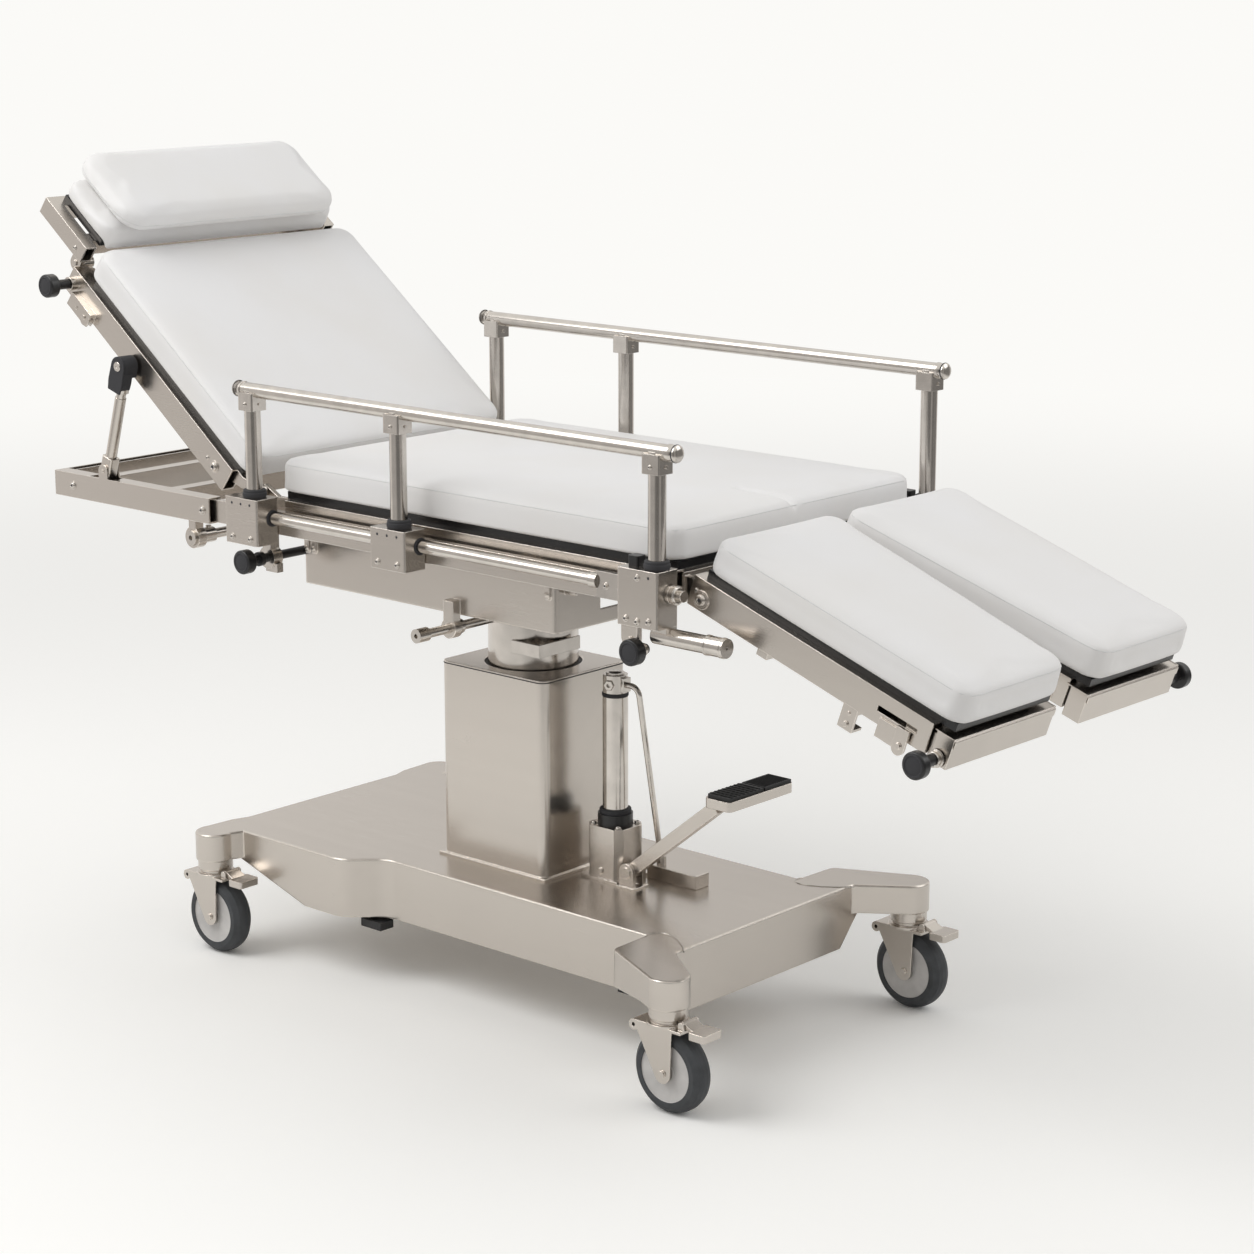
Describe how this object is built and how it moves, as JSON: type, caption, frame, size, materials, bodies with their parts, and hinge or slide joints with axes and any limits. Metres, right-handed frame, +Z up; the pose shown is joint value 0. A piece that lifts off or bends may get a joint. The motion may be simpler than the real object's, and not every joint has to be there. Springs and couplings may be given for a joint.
{
  "type": "operating table",
  "caption": "Wheeled surgical table with a lifting column, tilting head, padded seat, raised back with head rest, split leg rests, side rails and a foot pump pedal.",
  "frame": {"origin": "floor level under the middle of the whole table, in its length and width", "axes": "+X towards the foot end, +Y towards the far side (left of someone lying on the table), +Z up"},
  "size_m": [1.8462, 0.6732, 1.2689],
  "materials": {
    "stainless": "brushed stainless steel, satin",
    "polished": "polished",
    "vinyl": "smooth white coated fabric, matte sheen",
    "black_plastic": "moulded, satin",
    "rubber": "matte",
    "tyre": "matte",
    "board": "black laminate"
  },
  "bodies": {
    "base": {"base_cover": "stainless", "floor_pads": "rubber", "column_cover": "stainless", "column_seal": "rubber", "pump_housing": "stainless", "pump_collar": "black_plastic", "pump_cylinder": "polished", "pump_pipe": "polished", "valve_block": "stainless", "pedal_bracket": "stainless"},
    "pedal": {"pedal_arm": "stainless", "pedal_rubber": "rubber"},
    "column": {"inner_column": "polished"},
    "cross": {"tilt_cross": "stainless"},
    "table": {"apron": "stainless", "seat_frame": "stainless", "support_frame": "stainless", "accessory_tubes": "polished", "clamp_blocks_near": "stainless", "clamp_blocks_far": "stainless", "post_collars": "black_plastic", "seat_board": "board", "seat_pad": "vinyl"},
    "tilt_lock": {"tilt_lock_shaft": "polished"},
    "lock_screw": {"lock_knob": "black_plastic"},
    "clamp_screw_near": {"clamp_knob_near": "black_plastic"},
    "clamp_screw_far": {"clamp_knob_far": "black_plastic"},
    "back": {"back_frame": "stainless", "back_board": "board", "back_pad": "vinyl"},
    "head_lock": {"head_knob": "black_plastic"},
    "strut_outer": {"strut_tube": "stainless"},
    "strut_inner": {"strut_rod": "polished"},
    "head_carrier": {"head_rods": "polished"},
    "head": {"head_frame": "stainless", "head_board": "board", "head_pad_lower": "vinyl", "head_pad_upper": "vinyl"},
    "guard_near": {"hand_rail_near": "polished"},
    "guard_far": {"hand_rail_far": "polished"},
    "leg_near": {"leg_frame_near": "stainless", "leg_board_near": "board", "leg_pad_near": "vinyl"},
    "leg_lock_near": {"leg_knob_near": "black_plastic"},
    "leg_far": {"leg_frame_far": "stainless", "leg_board_far": "board", "leg_pad_far": "vinyl"},
    "leg_lock_far": {"leg_knob_far": "black_plastic"},
    "swivel_head_near": {"caster_fork_head_near": "stainless"},
    "wheel_head_near": {"caster_wheel_head_near": "tyre"},
    "brake_head_near": {"caster_brake_head_near": "stainless"},
    "swivel_head_far": {"caster_fork_head_far": "stainless"},
    "wheel_head_far": {"caster_wheel_head_far": "tyre"},
    "brake_head_far": {"caster_brake_head_far": "stainless"},
    "swivel_foot_near": {"caster_fork_foot_near": "stainless"},
    "wheel_foot_near": {"caster_wheel_foot_near": "tyre"},
    "brake_foot_near": {"caster_brake_foot_near": "stainless"},
    "swivel_foot_far": {"caster_fork_foot_far": "stainless"},
    "wheel_foot_far": {"caster_wheel_foot_far": "tyre"},
    "brake_foot_far": {"caster_brake_foot_far": "stainless"}
  },
  "joints": [
    {"name": "column_lift", "type": "slide", "parent": "base", "child": "column", "axis": [0, 0, 1], "range_m": [-0.02, 0.2]},
    {"name": "pitch", "type": "hinge", "parent": "column", "child": "cross", "pos_m": [-0.08647, 0, 0.69], "axis": [0, 1, 0], "range_deg": [-15, 15]},
    {"name": "roll", "type": "hinge", "parent": "cross", "child": "table", "pos_m": [-0.08647, 0, 0.69], "axis": [1, 0, 0], "range_deg": [-12, 12]},
    {"name": "pedal_press", "type": "hinge", "parent": "base", "child": "pedal", "pos_m": [0.13903, -0.0235, 0.225], "axis": [0, 1, 0], "range_deg": [0, 20], "stiffness_Nm_per_rad": 25, "springref_deg": -17.19},
    {"name": "tilt_lock_turn", "type": "hinge", "parent": "table", "child": "tilt_lock", "pos_m": [-0.04047, -0.2, 0.61], "axis": [0, 1, 0], "range_deg": [-60, 60]},
    {"name": "lock_screw_turn", "type": "hinge", "parent": "table", "child": "lock_screw", "pos_m": [-0.37947, -0.27, 0.678], "axis": [0, 1, 0], "range_deg": [-90, 90]},
    {"name": "clamp_turn_near", "type": "hinge", "parent": "table", "child": "clamp_screw_near", "pos_m": [0.40703, -0.313, 0.664], "axis": [0, 1, 0], "range_deg": [-90, 90]},
    {"name": "clamp_turn_far", "type": "hinge", "parent": "table", "child": "clamp_screw_far", "pos_m": [0.39553, 0.313, 0.664], "axis": [0, 1, 0], "range_deg": [-90, 90]},
    {"name": "back_raise", "type": "hinge", "parent": "table", "child": "back", "pos_m": [-0.42247, 0, 0.772], "axis": [0, 1, 0], "range_deg": [-7, 19]},
    {"name": "head_lock_turn", "type": "hinge", "parent": "back", "child": "head_lock", "pos_m": [-0.83386, -0.29, 1.06207], "axis": [0, 1, 0], "range_deg": [-90, 90]},
    {"name": "strut_swing", "type": "hinge", "parent": "table", "child": "strut_outer", "pos_m": [-0.74747, -0.2875, 0.77], "axis": [0, 1, 0], "range_deg": [-3.5, 9.2]},
    {"name": "strut_extend", "type": "slide", "parent": "strut_outer", "child": "strut_inner", "axis": [0.2914, 0, 0.9566], "range_m": [-0.038, 0.102]},
    {"name": "head_extend", "type": "slide", "parent": "back", "child": "head_carrier", "axis": [-0.7902, 0, 0.6129], "range_m": [0, 0.06]},
    {"name": "head_raise", "type": "hinge", "parent": "head_carrier", "child": "head", "pos_m": [-0.85398, 0, 1.0916], "axis": [0, 1, 0], "range_deg": [-40, 8]},
    {"name": "leg_raise_near", "type": "hinge", "parent": "table", "child": "leg_near", "pos_m": [0.48153, -0.15, 0.738], "axis": [0, -1, 0], "range_deg": [-71, 19]},
    {"name": "leg_lock_turn_near", "type": "hinge", "parent": "leg_near", "child": "leg_lock_near", "pos_m": [0.87094, -0.29, 0.58989], "axis": [0, 1, 0], "range_deg": [-90, 90]},
    {"name": "leg_raise_far", "type": "hinge", "parent": "table", "child": "leg_far", "pos_m": [0.48153, 0.15, 0.738], "axis": [0, -1, 0], "range_deg": [-71, 19]},
    {"name": "leg_lock_turn_far", "type": "hinge", "parent": "leg_far", "child": "leg_lock_far", "pos_m": [0.87094, 0.29, 0.58989], "axis": [0, 1, 0], "range_deg": [-90, 90]},
    {"name": "rail_slide_near", "type": "slide", "parent": "table", "child": "guard_near", "axis": [0, 0, 1], "range_m": [0, 0.04]},
    {"name": "rail_slide_far", "type": "slide", "parent": "table", "child": "guard_far", "axis": [0, 0, 1], "range_m": [-0.04, 0]},
    {"name": "swivel_head_near", "type": "hinge", "parent": "base", "child": "swivel_head_near", "pos_m": [-0.55647, -0.254, 0.13], "axis": [0, 0, 1], "continuous": true},
    {"name": "roll_head_near", "type": "hinge", "parent": "swivel_head_near", "child": "wheel_head_near", "pos_m": [-0.54747, -0.254, 0.0615], "axis": [0, 1, 0], "continuous": true},
    {"name": "brake_head_near", "type": "hinge", "parent": "swivel_head_near", "child": "brake_head_near", "pos_m": [-0.51947, -0.254, 0.137], "axis": [0, 1, 0], "range_deg": [0, 8]},
    {"name": "swivel_head_far", "type": "hinge", "parent": "base", "child": "swivel_head_far", "pos_m": [-0.55647, 0.254, 0.13], "axis": [0, 0, 1], "continuous": true},
    {"name": "roll_head_far", "type": "hinge", "parent": "swivel_head_far", "child": "wheel_head_far", "pos_m": [-0.54747, 0.254, 0.0615], "axis": [0, 1, 0], "continuous": true},
    {"name": "brake_head_far", "type": "hinge", "parent": "swivel_head_far", "child": "brake_head_far", "pos_m": [-0.51947, 0.254, 0.137], "axis": [0, 1, 0], "range_deg": [0, 8]},
    {"name": "swivel_foot_near", "type": "hinge", "parent": "base", "child": "swivel_foot_near", "pos_m": [0.43453, -0.281, 0.13], "axis": [0, 0, 1], "continuous": true},
    {"name": "roll_foot_near", "type": "hinge", "parent": "swivel_foot_near", "child": "wheel_foot_near", "pos_m": [0.44353, -0.281, 0.0615], "axis": [0, 1, 0], "continuous": true},
    {"name": "brake_foot_near", "type": "hinge", "parent": "swivel_foot_near", "child": "brake_foot_near", "pos_m": [0.47153, -0.281, 0.137], "axis": [0, 1, 0], "range_deg": [0, 8]},
    {"name": "swivel_foot_far", "type": "hinge", "parent": "base", "child": "swivel_foot_far", "pos_m": [0.43453, 0.281, 0.13], "axis": [0, 0, 1], "continuous": true},
    {"name": "roll_foot_far", "type": "hinge", "parent": "swivel_foot_far", "child": "wheel_foot_far", "pos_m": [0.44353, 0.281, 0.0615], "axis": [0, 1, 0], "continuous": true},
    {"name": "brake_foot_far", "type": "hinge", "parent": "swivel_foot_far", "child": "brake_foot_far", "pos_m": [0.47153, 0.281, 0.137], "axis": [0, 1, 0], "range_deg": [0, 8]}
  ],
  "couplings": [
    {"joint": "strut_swing", "follows": "back_raise", "ratio": 0.475},
    {"joint": "strut_extend", "follows": "back_raise", "m_per_rad": 0.3037}
  ]
}
